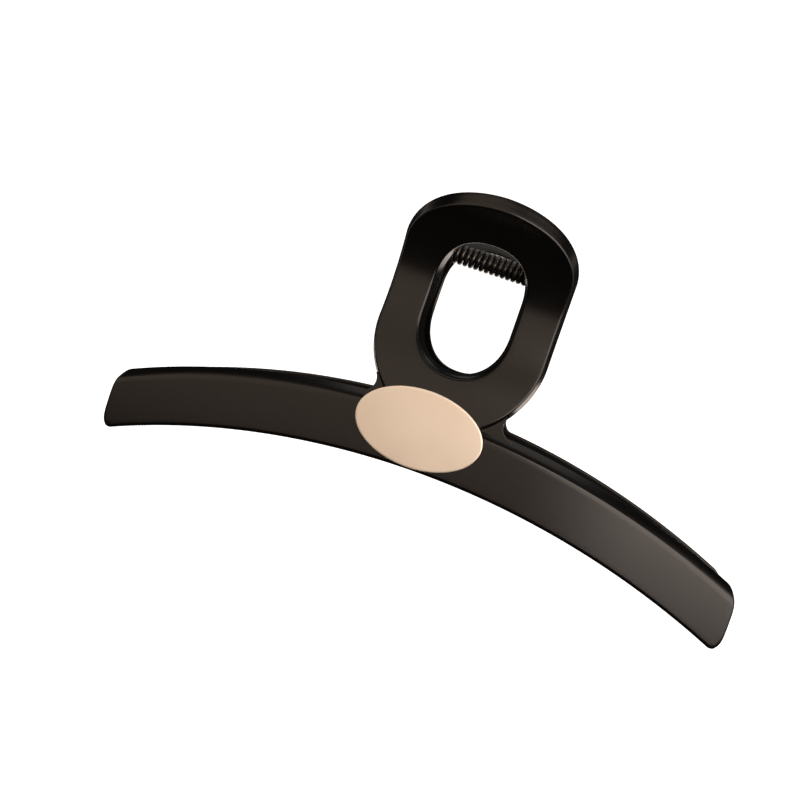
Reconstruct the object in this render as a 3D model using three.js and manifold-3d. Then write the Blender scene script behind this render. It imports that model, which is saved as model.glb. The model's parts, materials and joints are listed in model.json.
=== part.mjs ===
// Large claw clip for hair: two moulded jaws that turn on a steel pin, closed by a torsion
// spring, with an oval metal plate glued to the front jaw.
// Millimetres, +Z up. X runs along the hinge pin and the plated front jaw faces -Y.
// Every piece is drawn around the hinge axis; the finished clip stands on Z = 0.
import * as THREE from 'three';
import { mergeVertices } from 'three/addons/utils/BufferGeometryUtils.js';
import Module from 'manifold-3d';

const wasm = await Module();
wasm.setup();

// Arched bar of a jaw
const HALF_LENGTH = 66.7;
const BAR_TOP = -31.5;            // height of the bar's edges at its middle
const BAR_BOTTOM = -44.5;
const ARCH_RADIUS = 162;
const BAR_DEPTH = 12;             // hinge axis to the outer face, at the middle
const PLAN_SWEEP = 3.2;           // the ends lie this much closer to the other jaw
const BAR_THICKNESS = 3;
const END_ROUNDING = 1.8;
const BAR_STATIONS = 32;

// Finger loop above the bar: a sheet with a long hole, bent along an S when seen from the side
const SHEET = 3;
const NECK_DEPTH = 7.2;           // hinge axis to the outer face where the handle starts to flare
const LOOP_DEPTH = 12.4;          // the foot of the loop stands proud of the bar
const FLARE_START = -9.8;
const FLARE_RADIUS = 22.5;
const FOOT_RUN = 22;              // height over which the loop steps out to the foot
const LOOP_RIM = { halfWidth: 17.1, top: 9.4, rise: 12, bottom: -7.2, drop: 18.3, squareness: 1.9 };
const LOOP_HOLE = { halfWidth: 9.5, top: 3.2, rise: 9.7, bottom: -3.2, drop: 11.1, squareness: 2.2 };
const LOOP_DRAFT = 0.9;           // the ring is this much wider at the back of the sheet, each side
const ARC_STEPS = 20;
const SIDE_STEPS = 4;
const RIM_EDGE = 0.4;
const HOLE_EDGE = 0.6;

// Web that joins the loop to the bar
const WEB_DEPTH = 11;
const WEB_THICKNESS = 2;
const WEB_FILLET = 2.6;
const WAIST = 13.4;

// Hinge
const PIN_RADIUS = 1;
const BORE_RADIUS = 1.2;
const EYE_RADIUS = 3.2;
const LUG = 2.2;
const FRONT_LUG_AT = 9;           // inner face of each lug, from the middle
const BACK_LUG_AT = 11.5;
const PIN_HEAD_RADIUS = 1.8;
const PIN_HEAD = 0.8;
const PIN_GAP = 0.3;

// Torsion spring
const WIRE = 1.08;
const COIL_RADIUS = 1.66;
const COIL_PITCH = 1.16;
const COIL_TURNS = 14;
const LEG_ANGLE = 27;             // degrees from the top of the coil to where a leg leaves it
const LEG_LENGTH = 11.3;

// Teeth
const TOOTH_SPACING = 12;
const TOOTH_WIDTH = 2.6;
const TOOTH_HEIGHT = 3.4;
const TOOTH_TIP_SCALE = 0.5;
const TOOTH_RISE = 2.5;           // root centre above the lower edge of the bar
const TOOTH_GAP = 0.35;           // tip to the inner face of the other bar, clip closed
const TOOTH_STEPS = 6;

// Oval plate
const PLATE_SIZE = [26, 15.7];
const PLATE_CENTRE = [-2, -36];
const PLATE_THICKNESS = 0.9;
const PLATE_BEVEL = 0.2;
const GLUE_THICKNESS = 0.2;
const GLUE_INSET = 1.2;
const GLUE_GAP = 0.15;

function material(colour, roughness, metalness) {
  return new THREE.MeshStandardMaterial({ color: colour, roughness, metalness });
}
const jawPlastic = () => material('#2b2724', 0.45, 0);
const springSteel = () => material('#26262a', 0.4, 1);
const pinSteel = () => material('#8d8d90', 0.35, 1);
const plateMetal = () => material('#dcc2aa', 0.3, 1);
const glueFilm = () => material('#d9d4c4', 0.8, 0);

// --- closed meshes and booleans ---------------------------------------------------------

function toSolid(geometry) {
  const bare = geometry.clone();
  bare.deleteAttribute('normal');
  bare.deleteAttribute('uv');
  const merged = mergeVertices(bare, 1e-4);
  return new wasm.Manifold(new wasm.Mesh({
    numProp: 3,
    vertProperties: new Float32Array(merged.attributes.position.array),
    triVerts: new Uint32Array(merged.index.array),
  }));
}

function toGeometry(solid) {
  const mesh = solid.getMesh();
  const geometry = new THREE.BufferGeometry();
  geometry.setAttribute('position', new THREE.BufferAttribute(mesh.vertProperties, 3));
  geometry.setIndex(new THREE.BufferAttribute(mesh.triVerts, 1));
  geometry.computeVertexNormals();
  return geometry;
}

// Skin over a list of sections, each a ring of points; closed joins the last to the first.
function loft(sections, closed) {
  const count = sections[0].length;
  const points = sections.flat();
  const faces = [];
  const quad = (a, b, c, d) => faces.push(a, b, c, a, c, d);
  const last = closed ? sections.length : sections.length - 1;
  for (let i = 0; i < last; i += 1) {
    const here = i * count;
    const next = ((i + 1) % sections.length) * count;
    for (let j = 0; j < count; j += 1) {
      const k = (j + 1) % count;
      quad(here + j, here + k, next + k, next + j);
    }
  }
  if (!closed) {
    // Each end is closed by a ladder of quads between the two halves of its section
    const end = last * count;
    for (let j = 0; j < count / 2 - 1; j += 1) {
      const k = count - 1 - j;
      quad(k, k - 1, j + 1, j);
      quad(end + j, end + j + 1, end + k - 1, end + k);
    }
  }
  const geometry = new THREE.BufferGeometry();
  geometry.setAttribute('position', new THREE.Float32BufferAttribute(points.flat(), 3));
  geometry.setIndex(faces);
  return geometry;
}

// --- finger loop ------------------------------------------------------------------------

// A point of the bent sheet: s runs up the outer face from the start of the flare, and depth
// goes into the sheet, straight back below the flare as the mould opens.
function sheetPoint(x, s, depth) {
  if (s > 0) {
    const turn = s / FLARE_RADIUS;
    const radius = FLARE_RADIUS + depth;
    const centre = -(NECK_DEPTH + FLARE_RADIUS);
    return [x, centre + radius * Math.cos(turn), FLARE_START + radius * Math.sin(turn)];
  }
  const part = Math.min(-s / FOOT_RUN, 1) * Math.PI;
  const step = (LOOP_DEPTH - NECK_DEPTH) / 2;
  return [x, depth - NECK_DEPTH - step * (1 - Math.cos(part)), FLARE_START + s];
}

// Long rounded outline, anticlockwise from the right-hand side, as [x, s] points.
function loopOutline({ halfWidth, top, rise, bottom, drop, squareness }) {
  const points = [];
  const power = 2 / squareness;
  const bend = (value) => Math.sign(value) * Math.abs(value) ** power;
  const arc = (from, centre, reach) => {
    for (let i = 0; i <= ARC_STEPS; i += 1) {
      const angle = from + (i / ARC_STEPS) * Math.PI;
      points.push([halfWidth * bend(Math.cos(angle)), centre + reach * bend(Math.sin(angle))]);
    }
  };
  const side = (x, from, to) => {
    for (let i = 1; i < SIDE_STEPS; i += 1) {
      points.push([x, from + ((to - from) * i) / SIDE_STEPS]);
    }
  };
  arc(0, top, rise);
  side(-halfWidth, top, bottom);
  arc(Math.PI, bottom, drop);
  side(halfWidth, bottom, top);
  return points;
}

const mix = (a, b, part) => a.map((value, i) => value + (b[i] - value) * part);

const grown = (outline, by) => ({
  ...outline, halfWidth: outline.halfWidth + by, rise: outline.rise + by, drop: outline.drop + by,
});

function fingerLoop() {
  const inner = loopOutline(LOOP_HOLE);
  const outer = loopOutline(LOOP_RIM);
  const innerBack = loopOutline(grown(LOOP_HOLE, -LOOP_DRAFT));
  const outerBack = loopOutline(grown(LOOP_RIM, LOOP_DRAFT));
  const across = [0.34, 0.67];
  const sections = inner.map((edge, i) => {
    const width = Math.hypot(outer[i][0] - edge[0], outer[i][1] - edge[1]);
    const at = (part, depth) => {
      const near = mix(edge, innerBack[i], depth / SHEET);
      const far = mix(outer[i], outerBack[i], depth / SHEET);
      return sheetPoint(...mix(near, far, part), depth);
    };
    return [
      at(0, HOLE_EDGE), at(HOLE_EDGE / width, 0), ...across.map((part) => at(part, 0)),
      at(1 - RIM_EDGE / width, 0), at(1, RIM_EDGE), at(1, SHEET),
      ...across.toReversed().map((part) => at(part, SHEET)), at(0, SHEET),
    ];
  });
  return loft(sections, true);
}

// --- arched bar -------------------------------------------------------------------------

const archDrop = (x) => ARCH_RADIUS - Math.sqrt(ARCH_RADIUS * ARCH_RADIUS - x * x);
const barTop = (x) => BAR_TOP - archDrop(x);
const barBottom = (x) => BAR_BOTTOM - archDrop(x);
const barFace = (x) => BAR_DEPTH - PLAN_SWEEP * (x / HALF_LENGTH) ** 2;

function archedBar() {
  const height = BAR_TOP - BAR_BOTTOM;
  // Section as [height above the lower edge, depth behind the outer face]
  const section = [
    [0, 2.6], [0.4, BAR_THICKNESS], [height * 0.25, BAR_THICKNESS], [height * 0.5, BAR_THICKNESS],
    [height * 0.75, BAR_THICKNESS], [height - 0.4, BAR_THICKNESS], [height, 2.6], [height, 1.8],
    [height - 0.3, 1.25], [height - 1.2, 0.65], [height - 2.1, 0], [height * 0.5, 0],
    [height * 0.25, 0], [0.7, 0], [0.2, 0.2], [0, 0.7],
  ];
  const sections = [];
  for (let i = 0; i <= BAR_STATIONS; i += 1) {
    const along = (2 * i) / BAR_STATIONS - 1;
    sections.push(section.map(([rise, depth]) => {
      const part = rise / height;
      const x = along * (HALF_LENGTH - END_ROUNDING * (2 * part - 1) ** 4);
      const z = barBottom(x) + (barTop(x) - barBottom(x)) * part;
      return [x, depth - barFace(x), z];
    }));
  }
  return loft(sections, false);
}

function loopWeb() {
  const foot = WAIST + WEB_FILLET;
  const filletCentre = barTop(foot) + WEB_FILLET - 0.2;
  const crown = filletCentre + 1.6;
  const low = BAR_TOP - 4;
  const rise = Math.asin(1.6 / WEB_FILLET);
  const shape = new THREE.Shape();
  shape.moveTo(-foot, low);
  shape.lineTo(foot, low);
  shape.absarc(foot, filletCentre, WEB_FILLET, -Math.PI / 2, Math.PI - rise, true);
  shape.lineTo(-foot + WEB_FILLET * Math.cos(rise), crown);
  shape.absarc(-foot, filletCentre, WEB_FILLET, rise, -Math.PI / 2, true);
  const web = new THREE.ExtrudeGeometry(shape, {
    depth: WEB_THICKNESS, bevelEnabled: false, curveSegments: 8,
  });
  return web.rotateX(Math.PI / 2).translate(0, WEB_THICKNESS - WEB_DEPTH, 0);
}

// --- hinge lugs and teeth ---------------------------------------------------------------

// Cheek plate from the back of the loop to an eye around the pin.
function lug(from, to) {
  const embed = SHEET - 1.2;
  const shape = new THREE.Shape();
  const wall = [-8, -4, 0, 5, 10, 14].map((s) => sheetPoint(0, s, embed).slice(1));
  const lowest = wall[0];
  shape.moveTo(lowest[0], lowest[1]);
  shape.lineTo(lowest[0] + 2.6, lowest[1]);
  shape.absarc(0, 0, EYE_RADIUS, -0.35 * Math.PI, 0.5 * Math.PI, false);
  wall.toReversed().forEach(([y, z]) => shape.lineTo(y, z));
  const plate = new THREE.ExtrudeGeometry(shape, {
    depth: to - from, bevelEnabled: false, curveSegments: 16,
  });
  // Shape axes become Y and Z, the extrusion becomes X
  plate.applyMatrix4(new THREE.Matrix4().set(0, 0, 1, from, 1, 0, 0, 0, 0, 1, 0, 0, 0, 0, 0, 1));
  return plate;
}

function boreCutter() {
  const length = 4 * BACK_LUG_AT;
  return new THREE.CylinderGeometry(BORE_RADIUS, BORE_RADIUS, length, 24).rotateZ(Math.PI / 2);
}

// Curved tooth on an arc around the hinge axis, so that it slides along itself as the clip opens.
function tooth(x) {
  const inside = barFace(x) - BAR_THICKNESS;
  const radius = Math.hypot(inside, barBottom(x) + TOOTH_RISE);
  const from = -Math.asin((inside + 1.5) / radius);
  const to = Math.asin((inside - TOOTH_GAP) / radius);
  const outline = [[-1, -0.6], [-1, 0.6], [-0.6, 1], [0.6, 1], [1, 0.6], [1, -0.6], [0.6, -1],
    [-0.6, -1]];
  const sections = [];
  for (let i = 0; i <= TOOTH_STEPS; i += 1) {
    const part = i / TOOTH_STEPS;
    const angle = from + (to - from) * part;
    const scale = 1 - (1 - TOOTH_TIP_SCALE) * part ** 1.5;
    sections.push(outline.map(([side, up]) => {
      const reach = radius - up * scale * (TOOTH_HEIGHT / 2);
      return [
        x + side * scale * (TOOTH_WIDTH / 2), reach * Math.sin(angle), -reach * Math.cos(angle),
      ];
    }));
  }
  return loft(sections, false);
}

function jaw(lugAt, toothPlaces) {
  const pieces = [
    fingerLoop(), archedBar(), loopWeb(),
    lug(lugAt, lugAt + LUG), lug(-lugAt - LUG, -lugAt),
    ...toothPlaces.map(tooth),
  ];
  const body = pieces.map(toSolid).reduce((sum, piece) => sum.add(piece));
  return toGeometry(body.subtract(toSolid(boreCutter())));
}

// Tooth places from the middle outwards, both sides
function toothPlaces(first, count) {
  const places = [];
  for (let i = 0; i < count; i += 1) {
    const x = first + i * TOOTH_SPACING;
    places.push(x);
    if (x > 0) places.push(-x);
  }
  return places;
}

// --- pin, spring and plate --------------------------------------------------------------

function hingePin() {
  const half = BACK_LUG_AT + LUG + PIN_GAP;
  const profile = [
    [0, -half - PIN_HEAD], [PIN_HEAD_RADIUS - 0.3, -half - PIN_HEAD],
    [PIN_HEAD_RADIUS, -half - PIN_HEAD + 0.3], [PIN_HEAD_RADIUS, -half], [PIN_RADIUS, -half],
    [PIN_RADIUS, half - 0.3], [PIN_RADIUS - 0.3, half], [0, half],
  ].map(([radius, x]) => new THREE.Vector2(radius, x));
  return new THREE.LatheGeometry(profile, 24).rotateZ(-Math.PI / 2);
}

// The wire's centre line: leg on the front handle, coil, leg on the back handle.
class SpringPath extends THREE.Curve {
  constructor() {
    super();
    this.leave = THREE.MathUtils.degToRad(LEG_ANGLE);
    this.turn = COIL_TURNS * 2 * Math.PI - 2 * this.leave;
    this.half = (this.turn / (2 * Math.PI)) * (COIL_PITCH / 2);
    this.coilLength = this.turn * COIL_RADIUS;
  }

  getPoint(t, target = new THREE.Vector3()) {
    const total = this.coilLength + 2 * LEG_LENGTH;
    const along = THREE.MathUtils.clamp(t * total - LEG_LENGTH, 0, this.coilLength);
    const angle = -this.leave - along / COIL_RADIUS;
    const x = -this.half + (2 * this.half * along) / this.coilLength;
    target.set(x, -COIL_RADIUS * Math.sin(angle), COIL_RADIUS * Math.cos(angle));
    // Beyond an end of the coil the wire goes straight on
    const beyond = t * total - LEG_LENGTH - along;
    target.y += beyond * Math.cos(angle);
    target.z += beyond * Math.sin(angle);
    return target;
  }
}

function torsionSpring() {
  const round = new THREE.Shape().absarc(0, 0, WIRE / 2, 0, 2 * Math.PI);
  return new THREE.ExtrudeGeometry(round, {
    extrudePath: new SpringPath(), steps: COIL_TURNS * 16, curveSegments: 4, bevelEnabled: false,
  });
}

function ovalSlab(width, height, thickness, bevel) {
  const shape = new THREE.Shape().absellipse(0, 0, width / 2 - bevel, height / 2 - bevel, 0,
    2 * Math.PI);
  const slab = new THREE.ExtrudeGeometry(shape, {
    depth: thickness - 2 * bevel, bevelEnabled: bevel > 0, bevelSize: bevel,
    bevelThickness: bevel, bevelSegments: 2, curveSegments: 24,
  });
  return slab.rotateX(Math.PI / 2).translate(PLATE_CENTRE[0], -bevel, PLATE_CENTRE[1]);
}

// --- assembly ---------------------------------------------------------------------------

const clip = new THREE.Group();

function add(name, geometry, look) {
  const mesh = new THREE.Mesh(geometry, look);
  mesh.name = name;
  clip.add(mesh);
  return mesh;
}

add('front_jaw', jaw(FRONT_LUG_AT, toothPlaces(TOOTH_SPACING / 2, 5)), jawPlastic());
add('back_jaw', jaw(BACK_LUG_AT, toothPlaces(0, 6)), jawPlastic()).rotation.z = Math.PI;
add('hinge_pin', hingePin(), pinSteel());
add('torsion_spring', torsionSpring(), springSteel());

const glueBack = -(LOOP_DEPTH + GLUE_GAP);
const plateBack = glueBack - GLUE_THICKNESS - GLUE_GAP;
const [plateWidth, plateHeight] = PLATE_SIZE;
add('plate_adhesive', ovalSlab(plateWidth - 2 * GLUE_INSET, plateHeight - 2 * GLUE_INSET,
  GLUE_THICKNESS, 0), glueFilm()).position.y = glueBack;
add('oval_plate', ovalSlab(plateWidth, plateHeight, PLATE_THICKNESS, PLATE_BEVEL),
  plateMetal()).position.y = plateBack;

// The lower corners of the bars' ends are what the clip stands on
clip.position.z = -barBottom(HALF_LENGTH - END_ROUNDING);

export default clip;
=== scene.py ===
"""Large claw clip for hair: two moulded jaws on a sprung steel hinge, with an oval metal plate.
The shapes are drawn in millimetres around the hinge axis and placed in the row frame in metres."""
import json
import math

import bmesh
import bpy
import numpy as np
from mathutils import Matrix, Quaternion, Vector


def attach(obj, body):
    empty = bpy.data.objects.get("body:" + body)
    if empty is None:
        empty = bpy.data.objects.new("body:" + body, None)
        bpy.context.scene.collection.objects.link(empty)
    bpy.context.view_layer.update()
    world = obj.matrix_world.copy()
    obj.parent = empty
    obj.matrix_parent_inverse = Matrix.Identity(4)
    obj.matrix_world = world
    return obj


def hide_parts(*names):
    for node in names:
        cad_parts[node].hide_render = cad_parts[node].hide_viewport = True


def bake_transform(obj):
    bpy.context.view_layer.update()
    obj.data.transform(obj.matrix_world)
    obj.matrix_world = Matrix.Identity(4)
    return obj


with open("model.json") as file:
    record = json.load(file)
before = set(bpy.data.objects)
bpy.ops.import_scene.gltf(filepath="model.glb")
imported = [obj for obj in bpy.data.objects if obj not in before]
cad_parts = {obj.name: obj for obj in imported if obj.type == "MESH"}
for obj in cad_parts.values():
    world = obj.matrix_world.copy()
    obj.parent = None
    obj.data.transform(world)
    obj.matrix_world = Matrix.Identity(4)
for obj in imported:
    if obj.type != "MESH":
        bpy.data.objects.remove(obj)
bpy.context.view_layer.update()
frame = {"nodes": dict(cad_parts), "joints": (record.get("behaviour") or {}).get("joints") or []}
hinge_at = np.array(frame["joints"][0]["pos_m"], float)
MM = 0.001

# Arched bar of a jaw
HALF_LENGTH = 66.7
BAR_TOP = -31.5
BAR_BOTTOM = -44.5
ARCH_RADIUS = 162
BAR_DEPTH = 12
PLAN_SWEEP = 3.2
BAR_THICKNESS = 3
END_ROUNDING = 1.8
END_EDGE = 0.7
BAR_CORNERS = ((0.8, 0.8), (2.1, 1.6), (0.4, 0.4), (0.4, 0.4))
SHOULDER_FACET = 0.75

# Finger loop
SHEET = 3
NECK_DEPTH = 7.2
LOOP_DEPTH = 12.4
FLARE_START = -9.8
FLARE_RADIUS = 22.5
FOOT_RUN = 22
LOOP_RIM = {"half_width": 17.1, "top": 9.4, "rise": 12, "bottom": -7.2, "drop": 18.3,
            "squareness": 1.9}
LOOP_HOLE = {"half_width": 9.5, "top": 3.2, "rise": 9.7, "bottom": -3.2, "drop": 11.1,
             "squareness": 2.2}
LOOP_DRAFT = 0.9         # the ring is this much wider at the back of the sheet, each side
HOLE_EDGE = 0.45         # rounding of the hole's front edge at the top, and what the bottom adds
HOLE_EDGE_BELOW = 0.4
RIM_EDGE = 0.35
BACK_EDGE = 0.4

# Web that joins the loop to the bar
WEB_DEPTH = 11
WEB_THICKNESS = 2
WEB_FILLET = 2.6
WEB_OVERLAP = 4
WAIST = 13.4

# Hinge
PIN_RADIUS = 1
BORE_RADIUS = 1.2
BORE_REACH = 22
PIN_SIDES = 48
EYE_RADIUS = 3.2
LUG = 2.2
LUG_HEEL = 2.6
LUG_SUNK = 1.2
FRONT_LUG_AT = 9
BACK_LUG_AT = 11.5
PIN_HEAD_RADIUS = 1.8
PIN_HEAD = 0.8
PIN_GAP = 0.3

# Torsion spring
WIRE = 1.08
WIRE_SIDES = 16
COIL_RADIUS = 1.66
COIL_PITCH = 1.16
COIL_TURNS = 14
LEG_ANGLE = 27
LEG_LENGTH = 11.3

# Teeth
TOOTH_SPACING = 12
TOOTH_WIDTH = 2.6
TOOTH_HEIGHT = 3.4
TOOTH_TIP_SCALE = 0.5
TOOTH_TIP = 0.55
TOOTH_RISE = 2.5
TOOTH_SUNK = 1.5
TOOTH_GAP = 0.35

# Oval plate
PLATE_SIZE = (26, 15.7)
PLATE_CENTRE = (-2, -36)
PLATE_THICKNESS = 0.9
PLATE_EDGE = 0.15
GLUE_THICKNESS = 0.2
GLUE_GAP = 0.15

# Studio, in metres and degrees. The camera is placed from the hinge.
CAMERA_AT = (0.01517, -0.19793, -0.01823)
CAMERA_TARGET = (-0.00872, -0.012, -0.0313)
CAMERA_ROLL = 18.77
LENS = 43.31             # millimetres
LAMP_DISTANCE = 0.9
LAMPS_AIM = (0, 0, 0.035)
WARM = (1.0, 0.86, 0.76)


# --- closed meshes ------------------------------------------------------------------------

def new_object(name, points, faces):
    """A mesh object from points in millimetres around the hinge axis."""
    mesh = bpy.data.meshes.new(name)
    placed = np.asarray(points, float) * MM + hinge_at
    mesh.from_pydata(placed.tolist(), [], faces)
    mesh.validate()
    obj = bpy.data.objects.new(name, mesh)
    bpy.context.scene.collection.objects.link(obj)
    return obj


def all_round(count):
    """Evenly spaced angles round a full turn."""
    return np.linspace(0, 2 * math.pi, count, endpoint=False)


def skin(rings, count, closed=False):
    """Faces between neighbouring rings of count points each."""
    faces = []
    for i in range(rings if closed else rings - 1):
        here, there = i * count, (i + 1) % rings * count
        for j in range(count):
            k = (j + 1) % count
            faces.append((here + j, here + k, there + k, there + j))
    return faces


def loft(name, sections, closed=False):
    """Skin over a list of sections, each a ring of as many points."""
    count = len(sections[0])
    faces = skin(len(sections), count, closed)
    if not closed:
        end = (len(sections) - 1) * count
        for j in range(count // 2 - 1):
            k = count - 1 - j
            faces.append((k, k - 1, j + 1, j))
            faces.append((end + j, end + j + 1, end + k - 1, end + k))
    return new_object(name, np.concatenate(sections), faces)


def rounded_rectangle(width, height, corners, divisions, inset=0.0, facet=0.0):
    """Outline from (0, 0) along the width, up, back and down. The corners are (along, up) radii at
    (0, 0), (width, 0), (width, height) and (0, height). facet flattens the second one towards a
    chamfer."""
    steps, least = 9, 0.04
    low, right, high = inset, width - inset, height - inset
    shrunk = [(max(a - inset, least), max(b - inset, least)) for a, b in corners]
    (a0, b0), (a1, b1), (a2, b2), (a3, b3) = shrunk
    points = []

    def corner(cx, cy, rx, ry, start, flat=0.0):
        first, last = math.radians(start), math.radians(start + 90)
        for t in np.linspace(0, 1, steps):
            angle = first + (last - first) * t
            chord = ((1 - t) * math.cos(first) + t * math.cos(last),
                     (1 - t) * math.sin(first) + t * math.sin(last))
            u = (1 - flat) * math.cos(angle) + flat * chord[0]
            v = (1 - flat) * math.sin(angle) + flat * chord[1]
            points.append((cx + rx * u, cy + ry * v))

    def side(begin, finish, parts):
        for i in range(1, parts):
            t = i / parts
            points.append((begin[0] + (finish[0] - begin[0]) * t,
                           begin[1] + (finish[1] - begin[1]) * t))

    along, up = divisions
    corner(low + a0, low + b0, a0, b0, 180)
    side((low + a0, low), (right - a1, low), along)
    corner(right - a1, low + b1, a1, b1, 270, facet)
    side((right, low + b1), (right, high - b2), up)
    corner(right - a2, high - b2, a2, b2, 0)
    side((right - a2, high), (low + a3, high), along)
    corner(low + a3, high - b3, a3, b3, 90)
    side((low, high - b3), (low, low + b0), up)
    return points


def prism(name, outline, depths, place):
    """A plate between two depths with softened edges. place turns (u, v, depth) into a point."""
    edge = 0.12
    softened = ((edge, 0), (0.3 * edge, 0.3 * edge), (0, edge))
    ring = np.array(outline, float)
    ahead, behind = np.roll(ring, -1, 0) - ring, ring - np.roll(ring, 1, 0)
    ahead /= np.linalg.norm(ahead, axis=1)[:, None]
    behind /= np.linalg.norm(behind, axis=1)[:, None]
    inward = np.stack([-(ahead + behind)[:, 1], (ahead + behind)[:, 0]], 1)
    inward /= np.maximum((inward ** 2).sum(1) / 2, 0.5)[:, None]
    start, finish = depths
    way = math.copysign(1, finish - start)
    profile = [(inset, start + way * depth) for inset, depth in softened]
    profile += [(inset, finish - way * depth) for inset, depth in reversed(softened)]
    sections = [[place(u, v, depth) for u, v in ring + inward * inset] for inset, depth in profile]
    count, rings = len(ring), len(sections)
    caps = [tuple(range(count))[::-1], tuple(range((rings - 1) * count, rings * count))]
    return new_object(name, np.concatenate(sections), skin(rings, count) + caps)


def outward(obj):
    """Turns all faces outwards."""
    bm = bmesh.new()
    bm.from_mesh(obj.data)
    bmesh.ops.recalc_face_normals(bm, faces=bm.faces)
    bm.to_mesh(obj.data)
    bm.free()
    return obj


def combined(name, base, others, cutters=()):
    """One closed mesh: base joined with the others, less the cutters."""
    for other, operation in [(o, "UNION") for o in others] + [(o, "DIFFERENCE") for o in cutters]:
        modifier = base.modifiers.new(operation.lower(), "BOOLEAN")
        modifier.object = other
        modifier.operation = operation
        modifier.solver = "MANIFOLD"
    depsgraph = bpy.context.evaluated_depsgraph_get()
    mesh = bpy.data.meshes.new_from_object(base.evaluated_get(depsgraph), depsgraph=depsgraph)
    mesh.name = name
    result = bpy.data.objects.new(name, mesh)
    bpy.context.scene.collection.objects.link(result)
    for used in [base, *others, *cutters]:
        bpy.data.objects.remove(used)
    return result


def smooth(obj, angle=32):
    """Smooth faces with sharp creases above the angle, and normals that favour the large faces."""
    mesh = obj.data
    mesh.polygons.foreach_set("use_smooth", [True] * len(mesh.polygons))
    mesh.set_sharp_from_angle(angle=math.radians(angle))
    weighted = obj.modifiers.new("weighted_normals", "WEIGHTED_NORMAL")
    weighted.keep_sharp = True
    return obj


# --- finger loop --------------------------------------------------------------------------

def sheet_point(x, s, depth):
    """A point of the bent sheet: s runs up the outer face from the start of the flare, and depth
    goes into the sheet, straight back below the flare as the mould opens."""
    if s > 0:
        turn = s / FLARE_RADIUS
        radius = FLARE_RADIUS + depth
        centre = -(NECK_DEPTH + FLARE_RADIUS)
        return (x, centre + radius * math.cos(turn), FLARE_START + radius * math.sin(turn))
    part = min(-s / FOOT_RUN, 1) * math.pi
    step = (LOOP_DEPTH - NECK_DEPTH) / 2
    return (x, depth - NECK_DEPTH - step * (1 - math.cos(part)), FLARE_START + s)


def loop_outline(half_width, top, rise, bottom, drop, squareness):
    """Long rounded outline, anticlockwise from the right-hand side, as (x, s)."""
    arc_steps, side_steps = 96, 14
    power = 2 / squareness
    points = []

    def bend(value):
        return math.copysign(abs(value) ** power, value)

    def arc(start, centre, reach):
        for i in range(arc_steps + 1):
            angle = start + i / arc_steps * math.pi
            points.append((half_width * bend(math.cos(angle)),
                           centre + reach * bend(math.sin(angle))))

    def side(x, begin, finish):
        for i in range(1, side_steps):
            points.append((x, begin + (finish - begin) * i / side_steps))

    arc(0, top, rise)
    side(-half_width, top, bottom)
    arc(math.pi, bottom, drop)
    side(half_width, bottom, top)
    return points


def grown(outline, by):
    larger = dict(outline)
    for key in ("half_width", "rise", "drop"):
        larger[key] += by
    return larger


def finger_loop():
    near, near_back, far, far_back = [
        np.array(loop_outline(**outline))
        for outline in (LOOP_HOLE, grown(LOOP_HOLE, -LOOP_DRAFT),
                        LOOP_RIM, grown(LOOP_RIM, LOOP_DRAFT))
    ]
    sections = []
    for i in range(len(near)):
        width = math.dist(near[i], far[i])
        lowness = min(max((LOOP_HOLE["bottom"] - near[i][1]) / LOOP_HOLE["drop"], 0), 1)
        edges = (HOLE_EDGE + HOLE_EDGE_BELOW * lowness, RIM_EDGE, BACK_EDGE, BACK_EDGE)
        corners = [(edge, edge) for edge in edges]
        section = []
        for across, depth in rounded_rectangle(width, SHEET, corners, (10, 3)):
            back = depth / SHEET
            start = near[i] + (near_back[i] - near[i]) * back
            finish = far[i] + (far_back[i] - far[i]) * back
            section.append(sheet_point(*(start + (finish - start) * across / width), depth))
        sections.append(section)
    return outward(loft("finger_loop", sections, closed=True))


# --- arched bar ---------------------------------------------------------------------------

def arch_drop(x):
    return ARCH_RADIUS - math.sqrt(ARCH_RADIUS * ARCH_RADIUS - x * x)


def bar_top(x):
    return BAR_TOP - arch_drop(x)


def bar_bottom(x):
    return BAR_BOTTOM - arch_drop(x)


def bar_face(x):
    return BAR_DEPTH - PLAN_SWEEP * (x / HALF_LENGTH) ** 2


def arched_bar():
    """The bar, swept along the arch in sections that shrink at both ends to round them."""
    height = BAR_TOP - BAR_BOTTOM
    ends = [(END_EDGE * (1 - math.cos(a)), END_EDGE * (1 - math.sin(a)))
            for a in np.linspace(0, math.pi / 2, 8)]
    run = [(1 - e / HALF_LENGTH, inset) for e, inset in ends]
    reach = run[-1][0]
    middle = [(a, 0.0) for a in np.linspace(-reach, reach, 161)[1:-1]]
    stations = [(-a, inset) for a, inset in run] + middle + run[::-1]
    sections = []
    for along, inset in stations:
        ring = []
        for rise, depth in rounded_rectangle(height, BAR_THICKNESS, BAR_CORNERS, (12, 3), inset,
                                             SHOULDER_FACET):
            part = rise / height
            x = along * (HALF_LENGTH - END_ROUNDING * (2 * part - 1) ** 4)
            z = bar_bottom(x) + (bar_top(x) - bar_bottom(x)) * part
            ring.append((x, depth - bar_face(x), z))
        sections.append(ring)
    return outward(loft("arched_bar", sections))


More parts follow.
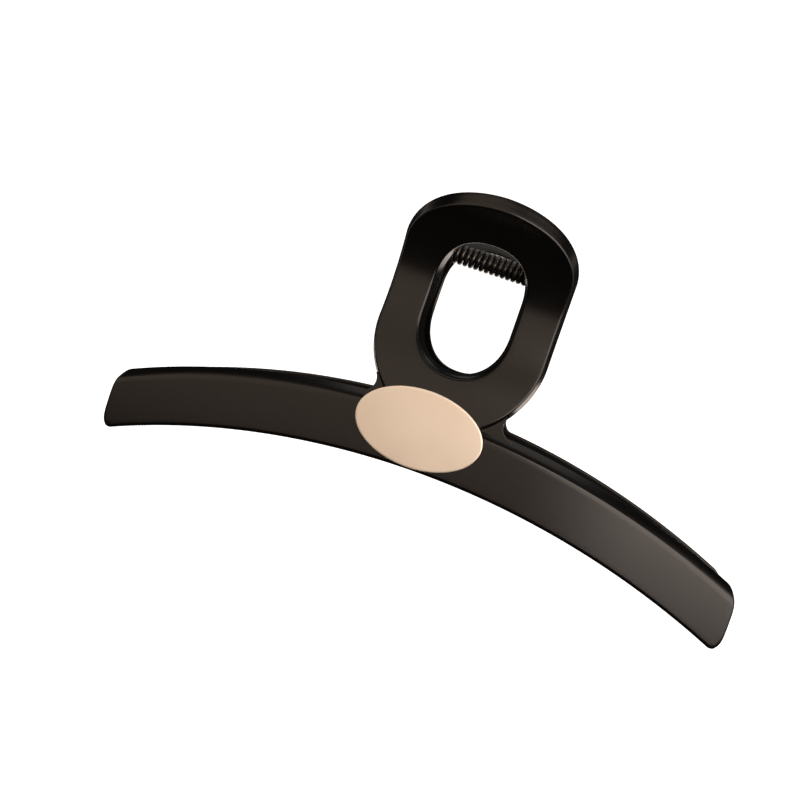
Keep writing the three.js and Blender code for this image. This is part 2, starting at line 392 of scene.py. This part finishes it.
def loop_web():
    """Flat web between the loop and the bar, with a fillet on each side."""
    foot = WAIST + WEB_FILLET
    centre = bar_top(foot) + WEB_FILLET - 0.2
    low = BAR_TOP - WEB_OVERLAP
    rise = math.asin(1.6 / WEB_FILLET)
    right = [(foot + WEB_FILLET * math.cos(a), centre + WEB_FILLET * math.sin(a))
             for a in np.linspace(-math.pi / 2, -math.pi - rise, 24)]
    left = [(-x, z) for x, z in reversed(right)]
    outline = [(-foot, low), (foot, low), *right, *left]
    return outward(prism("loop_web", outline, (-WEB_DEPTH, WEB_THICKNESS - WEB_DEPTH),
                         lambda u, v, depth: (u, depth, v)))


# --- hinge lugs and teeth -----------------------------------------------------------------

def lug(start, finish):
    """Lug from x = start to finish: an eye round the hinge, on a foot sunk into the sheet."""
    wall = [sheet_point(0, s, SHEET - LUG_SUNK)[1:] for s in (*range(-8, 2, 2), *range(2, 15, 3))]
    lowest = wall[0]
    eye = [(EYE_RADIUS * math.cos(a), EYE_RADIUS * math.sin(a))
           for a in np.linspace(-0.35 * math.pi, 0.5 * math.pi, 40)]
    outline = [lowest, (lowest[0] + LUG_HEEL, lowest[1]), *eye, *wall[:0:-1]]
    return outward(prism("lug", outline, (start, finish), lambda u, v, depth: (depth, u, v)))


def bore_cutter():
    ring = [(BORE_RADIUS * math.cos(a), BORE_RADIUS * math.sin(a)) for a in all_round(PIN_SIDES)]
    return outward(loft("bore", [[(x, y, z) for y, z in ring] for x in (-BORE_REACH, BORE_REACH)]))


def tooth(x):
    """Curved tooth on an arc around the hinge axis, with a rounded tip."""
    inside = bar_face(x) - BAR_THICKNESS
    radius = math.hypot(inside, bar_bottom(x) + TOOTH_RISE)
    start = -math.asin((inside + TOOTH_SUNK) / radius)
    finish = math.asin((inside - TOOTH_GAP) / radius)
    tip = TOOTH_TIP / radius
    angles = [(a, 1.0) for a in np.linspace(start, finish - tip, 22)]
    angles += [(finish - tip * (1 - math.sin(b)), math.cos(b) ** 0.8 if b < 1.5 else 0.12)
               for b in np.linspace(0.15, math.pi / 2, 8)]
    sections = []
    for angle, shrink in angles:
        part = (angle - start) / (finish - start)
        scale = (1 - (1 - TOOTH_TIP_SCALE) * part ** 1.5) * shrink
        ring = []
        for b in all_round(28):
            side = math.copysign(abs(math.cos(b)) ** 0.6, math.cos(b))
            up = math.copysign(abs(math.sin(b)) ** 0.6, math.sin(b))
            reach = radius - up * scale * TOOTH_HEIGHT / 2
            ring.append((x + side * scale * TOOTH_WIDTH / 2, reach * math.sin(angle),
                         -reach * math.cos(angle)))
        sections.append(ring)
    return outward(loft("tooth", sections))


def tooth_places(first, count):
    """Where count teeth stand on each side, from first outwards. One at 0 is shared."""
    places = []
    for i in range(count):
        x = first + i * TOOTH_SPACING
        places += [x, -x] if x > 0 else [x]
    return places


def jaw(name, lug_at, places):
    parts = [arched_bar(), loop_web(), lug(lug_at, lug_at + LUG), lug(-lug_at - LUG, -lug_at)]
    parts += [tooth(x) for x in places]
    return combined(name, finger_loop(), parts, [bore_cutter()])


# --- pin, spring and plate ----------------------------------------------------------------

def hinge_pin():
    half = BACK_LUG_AT + LUG + PIN_GAP
    dome, edge = 0.45, 0.08
    head = [(PIN_HEAD_RADIUS * math.sin(a), -half - PIN_HEAD + dome * (1 - math.cos(a)))
            for a in np.linspace(0.15, math.pi / 2, 8)]
    profile = [*head, (PIN_HEAD_RADIUS, -half - edge), (PIN_HEAD_RADIUS - edge, -half),
               (PIN_RADIUS, -half), (PIN_RADIUS, half - 0.35), (PIN_RADIUS - 0.1, half - 0.12),
               (PIN_RADIUS - 0.3, half)]
    sections = [[(x, radius * math.cos(a), radius * math.sin(a)) for a in all_round(PIN_SIDES)]
                for radius, x in profile]
    return outward(loft("steel_hinge_pin", sections))


def torsion_spring():
    """Wire along the coil, with a straight leg leaving it at each end."""
    leave = math.radians(LEG_ANGLE)
    turn = COIL_TURNS * 2 * math.pi - 2 * leave
    half = turn / (2 * math.pi) * COIL_PITCH / 2
    length = turn * COIL_RADIUS

    def centre(distance):
        along = min(max(distance, 0), length)
        angle = -leave - along / COIL_RADIUS
        beyond = distance - along
        return np.array([-half + 2 * half * along / length,
                         -COIL_RADIUS * math.sin(angle) + beyond * math.cos(angle),
                         COIL_RADIUS * math.cos(angle) + beyond * math.sin(angle)])

    distances = [*np.linspace(-LEG_LENGTH, -0.2, 24), *np.linspace(0, length, COIL_TURNS * 36),
                 *np.linspace(length + 0.2, length + LEG_LENGTH, 24)]
    sections = []
    across = Vector((1, 0, 0))
    for i, distance in enumerate(distances):
        ahead = Vector(centre(distance + 0.05) - centre(distance - 0.05)).normalized()
        side = (across - ahead * across.dot(ahead)).normalized()
        up = ahead.cross(side)
        radius = WIRE / 2 * (0.75 if i in (0, len(distances) - 1) else 1)
        middle = Vector(centre(distance))
        sections.append([tuple(middle + (side * math.cos(a) + up * math.sin(a)) * radius)
                         for a in all_round(WIRE_SIDES)])
    return outward(loft("wound_spring", sections))


def oval_plate():
    back = -(LOOP_DEPTH + 2 * GLUE_GAP + GLUE_THICKNESS)
    front = back - PLATE_THICKNESS
    half_width, half_height = PLATE_SIZE[0] / 2, PLATE_SIZE[1] / 2
    rings = [(inset, front) for inset in (7, 6, 5, 4, 3, 2, 1.2, 0.5)]
    rings += [(PLATE_EDGE * (1 - math.sin(a)), front + PLATE_EDGE * (1 - math.cos(a)))
              for a in np.linspace(0, math.pi / 2, 6)]
    rings += [(0, back - 0.15), (0.12, back), (2, back), (7, back)]
    sections = [[(PLATE_CENTRE[0] + (half_width - inset) * math.cos(a), y,
                  PLATE_CENTRE[1] + (half_height - inset) * math.sin(a)) for a in all_round(160)]
                for inset, y in rings]
    return outward(loft("oval_metal_plate", sections))


# --- materials ----------------------------------------------------------------------------

def new_material(name):
    material = bpy.data.materials.new(name)
    material.use_nodes = True
    nodes, links = material.node_tree.nodes, material.node_tree.links
    return material, nodes, links, nodes["Principled BSDF"]


def noise(nodes, links, coordinates, scale, detail, roughness=0.5):
    node = nodes.new("ShaderNodeTexNoise")
    node.inputs["Scale"].default_value = scale
    node.inputs["Detail"].default_value = detail
    node.inputs["Roughness"].default_value = roughness
    links.new(coordinates, node.inputs["Vector"])
    return node.outputs["Fac"]


def spread(nodes, links, value, low, high):
    """Stretches the middle of a noise over the range from low to high."""
    node = nodes.new("ShaderNodeMapRange")
    node.inputs["From Min"].default_value = 0.3
    node.inputs["From Max"].default_value = 0.7
    node.inputs["To Min"].default_value = low
    node.inputs["To Max"].default_value = high
    links.new(value, node.inputs["Value"])
    return node.outputs["Result"]


def mixed(nodes, links, factor, first, second):
    node = nodes.new("ShaderNodeMix")
    node.data_type = "RGBA"
    node.inputs["A"].default_value = (*first, 1)
    node.inputs["B"].default_value = (*second, 1)
    links.new(factor, node.inputs["Factor"])
    return node.outputs["Result"]


def mottled(name, colours, roughness, patch, metallic=0, grain=None, bump=None):
    """A material that varies softly between two colours and two roughnesses. patch and grain are
    noises as (scale, detail, roughness). bump is the strength and distance of the grain."""
    material, nodes, links, shader = new_material(name)
    where = nodes.new("ShaderNodeTexCoord").outputs["Object"]
    cloud = noise(nodes, links, where, *patch)
    links.new(mixed(nodes, links, spread(nodes, links, cloud, 0, 1), *colours),
              shader.inputs["Base Color"])
    links.new(spread(nodes, links, cloud, *roughness), shader.inputs["Roughness"])
    shader.inputs["Metallic"].default_value = metallic
    if grain:
        node = nodes.new("ShaderNodeBump")
        node.inputs["Strength"].default_value, node.inputs["Distance"].default_value = bump
        links.new(noise(nodes, links, where, *grain), node.inputs["Height"])
        links.new(node.outputs["Normal"], shader.inputs["Normal"])
    return material


def floor_surface():
    material, _, _, shader = new_material("pale_floor")
    shader.inputs["Base Color"].default_value = (0.9, 0.9, 0.9, 1)
    shader.inputs["Roughness"].default_value = 0.9
    shader.inputs["Specular IOR Level"].default_value = 0
    shader.inputs["Emission Color"].default_value = (1, 1, 1, 1)
    shader.inputs["Emission Strength"].default_value = 1.05
    return material


def dress(obj, material, body, replaced=None):
    obj.data.materials.clear()
    obj.data.materials.append(material)
    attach(obj, body)
    if replaced:
        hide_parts(replaced)
    return obj


# --- the clip -----------------------------------------------------------------------------

plastic = mottled("matt_dark_plastic", ((0.0016, 0.0014, 0.0013), (0.0026, 0.0023, 0.0021)),
                  (0.2, 0.235), (60, 3), grain=(5200, 2, 0.6), bump=(0.25, 0.00003))
spring_wire = mottled("dark_spring_wire", ((0.06, 0.06, 0.058), (0.13, 0.126, 0.118)),
                      (0.28, 0.42), (700, 4), 1, grain=(700, 4), bump=(0.15, 0.00005))
pin_steel = mottled("drawn_pin_steel", ((0.4, 0.4, 0.41), (0.55, 0.55, 0.56)),
                    (0.25, 0.4), (900, 4), 1)
plate_gold = mottled("satin_champagne_plating", ((0.94, 0.85, 0.73), (0.96, 0.87, 0.75)),
                     (0.36, 0.42), (90, 3), 1, grain=(6500, 2, 0.6), bump=(0.12, 0.00002))
glue = mottled("clear_film", ((0.55, 0.5, 0.42), (0.66, 0.61, 0.52)), (0.5, 0.7), (400, 3))

front = jaw("front_claw", FRONT_LUG_AT, tooth_places(TOOTH_SPACING / 2, 5))
dress(smooth(front), plastic, "front_half", "front_jaw")

back = jaw("back_claw", BACK_LUG_AT, tooth_places(0, 6))
half_turn = Matrix.Rotation(math.pi, 4, "Z")
back.data.transform(Matrix.Translation(hinge_at) @ half_turn @ Matrix.Translation(-hinge_at))
dress(smooth(back), plastic, "back_half", "back_jaw")

dress(smooth(hinge_pin()), pin_steel, "back_half", "hinge_pin")

spring = smooth(torsion_spring(), 60)
spring.data.materials.append(spring_wire)
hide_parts("torsion_spring")
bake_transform(spring)

dress(smooth(oval_plate()), plate_gold, "front_half", "oval_plate")

film = frame["nodes"]["plate_adhesive"]
film.data.materials.clear()
film.data.materials.append(glue)


# --- floor, lights and camera -------------------------------------------------------------

def studio_bowl():
    """Floor that rises into a wall all round. Lamps outside it light through it."""
    sides, flat, bend, sunk = 96, 0.8, 0.6, 0.0002
    profile = [(0.0001, 0), (0.15, 0), (0.4, 0), (flat, 0)]
    profile += [(flat + bend * math.sin(a), bend * (1 - math.cos(a)))
                for a in np.linspace(0.1, 1.55, 14)]
    profile += [(flat + bend, 2 * bend), (flat + bend, 2.0)]
    points = [(radius * math.cos(a), radius * math.sin(a), z - sunk)
              for radius, z in profile for a in all_round(sides)]
    mesh = bpy.data.meshes.new("studio_floor")
    mesh.from_pydata(points, [], skin(len(profile), sides))
    mesh.polygons.foreach_set("use_smooth", [True] * len(mesh.polygons))
    mesh.materials.append(floor_surface())
    bowl = bpy.data.objects.new("studio_floor", mesh)
    bpy.context.scene.collection.objects.link(bowl)
    bowl.visible_diffuse = bowl.visible_glossy = bowl.visible_shadow = False


def softbox(name, azimuth, elevation, size, radiance, colour=(1, 1, 1)):
    """Area lamp aimed at the clip. Azimuth 0 is in front of it and 90 is at +X."""
    a, e = math.radians(azimuth), math.radians(elevation)
    towards = Vector((math.sin(a) * math.cos(e), -math.cos(a) * math.cos(e), math.sin(e)))
    lamp = bpy.data.lights.new(name, "AREA")
    lamp.shape = "RECTANGLE"
    lamp.size, lamp.size_y = size
    lamp.energy = radiance * math.pi * size[0] * size[1]
    lamp.color = colour
    obj = bpy.data.objects.new(name, lamp)
    bpy.context.scene.collection.objects.link(obj)
    obj.location = Vector(LAMPS_AIM) + towards * LAMP_DISTANCE
    obj.rotation_mode = "QUATERNION"
    obj.rotation_quaternion = towards.to_track_quat("Z", "Y")
    obj.visible_camera = False


studio_bowl()
softbox("side_light", 41, 13, (1.04, 0.84), 3.55, WARM)
softbox("front_fill", -24, 18, (1.31, 1.0), 0.83, (1.0, 0.78, 0.62))
softbox("top_light", 0, 80, (0.7, 0.5), 0.7, (1.0, 0.95, 0.88))
softbox("back_light_right", 145, 58, (0.45, 0.45), 1.0)
softbox("back_light_left", -145, 58, (0.45, 0.45), 1.0)
softbox("low_back_light", 170, -22, (1.2, 0.6), 1.9, WARM)
softbox("right_fill", 100, 8, (0.7, 0.6), 0.5, WARM)
softbox("left_fill", -100, 8, (0.7, 0.6), 0.5, WARM)

world = bpy.data.worlds.new("dim_room")
bpy.context.scene.world = world
world.use_nodes = True
world.node_tree.nodes["Background"].inputs["Color"].default_value = (0.02, 0.02, 0.02, 1)

camera = bpy.data.objects.new("camera", bpy.data.cameras.new("camera"))
bpy.context.scene.collection.objects.link(camera)
camera.data.sensor_width = 36
camera.data.lens = LENS
camera.data.clip_start = 0.01
camera.data.clip_end = 20
camera.location = hinge_at + CAMERA_AT
camera.rotation_mode = "QUATERNION"
camera.rotation_quaternion = (
    (Vector(CAMERA_TARGET) - Vector(CAMERA_AT)).to_track_quat("-Z", "Y")
    @ Quaternion((0, 0, 1), math.radians(CAMERA_ROLL))
)
bpy.context.scene.camera = camera
bpy.context.scene.view_settings.view_transform = "Standard"

bpy.context.view_layer.update()
